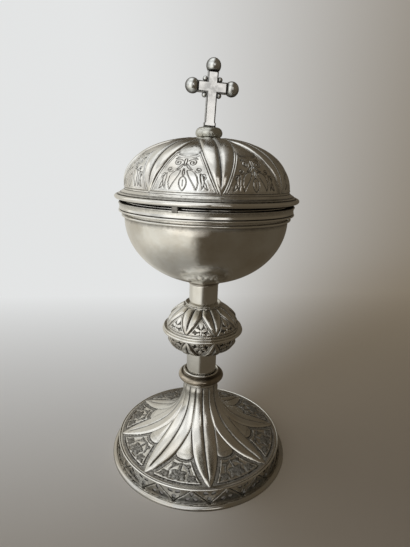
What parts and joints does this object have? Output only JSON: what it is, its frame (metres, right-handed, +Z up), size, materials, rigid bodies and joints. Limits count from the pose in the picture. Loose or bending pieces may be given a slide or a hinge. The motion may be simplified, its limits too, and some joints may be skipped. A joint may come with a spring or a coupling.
{
  "type": "covered ciborium",
  "caption": "Round-footed metal vessel with a knopped stem, hemispherical cup and a domed lift-off lid under a ball-ended cross, for holding wafers.",
  "frame": {"origin": "middle of the foot's flat underside", "axes": "+Z up the axis of foot, stem and cup; +X along the cross's arms to the right of a viewer who faces the cross; -Y out of the cross's front face"},
  "size_m": [0.119, 0.119, 0.2483],
  "materials": {
    "silver_plain": "old silver, softly polished, with a warm tarnish in the hollows",
    "silver_chased": "old silver, chased and engraved, darkened grounds and bright ridges",
    "silver_cast": "cast silver, smooth, dark in its angles",
    "brass_fittings": "plain turned brass, dull"
  },
  "bodies": {
    "cup_and_foot": {"foot_flange": "silver_plain", "foot_edge_wire": "silver_plain", "foot_neck_ring": "silver_plain", "stem_collar": "silver_plain", "stem_tube_lower": "silver_plain", "knop_girdle": "silver_plain", "knop_lip": "silver_plain", "stem_tube_upper": "silver_plain", "cup_collar": "silver_plain", "cup_boss": "silver_plain", "cup_bowl": "silver_plain", "cup_rim_bead": "silver_plain", "cup_rim_band": "silver_plain", "locating_peg": "silver_plain", "foot_gallery": "silver_chased", "foot_dome": "silver_chased", "knop_lower_shell": "silver_chased", "knop_upper_shell": "silver_chased", "tie_rod": "brass_fittings", "foot_washer": "brass_fittings", "foot_nut": "brass_fittings"},
    "lid": {"lid_flange": "silver_plain", "lid_bezel": "silver_plain", "lid_dome": "silver_chased", "finial_collar": "silver_plain", "finial_button": "silver_plain", "finial_stud": "brass_fittings", "finial_nut": "brass_fittings", "cross_body": "silver_cast", "cross_ball_top": "silver_cast", "cross_ball_left": "silver_cast", "cross_ball_right": "silver_cast", "cross_bead_upper_left": "silver_cast", "cross_bead_upper_right": "silver_cast", "cross_bead_lower_left": "silver_cast", "cross_bead_lower_right": "silver_cast"}
  },
  "joints": [
    {"name": "lid_lift", "type": "slide", "parent": "cup_and_foot", "child": "lid", "axis": [0, 0, 1], "range_m": [0, 0.06]}
  ]
}
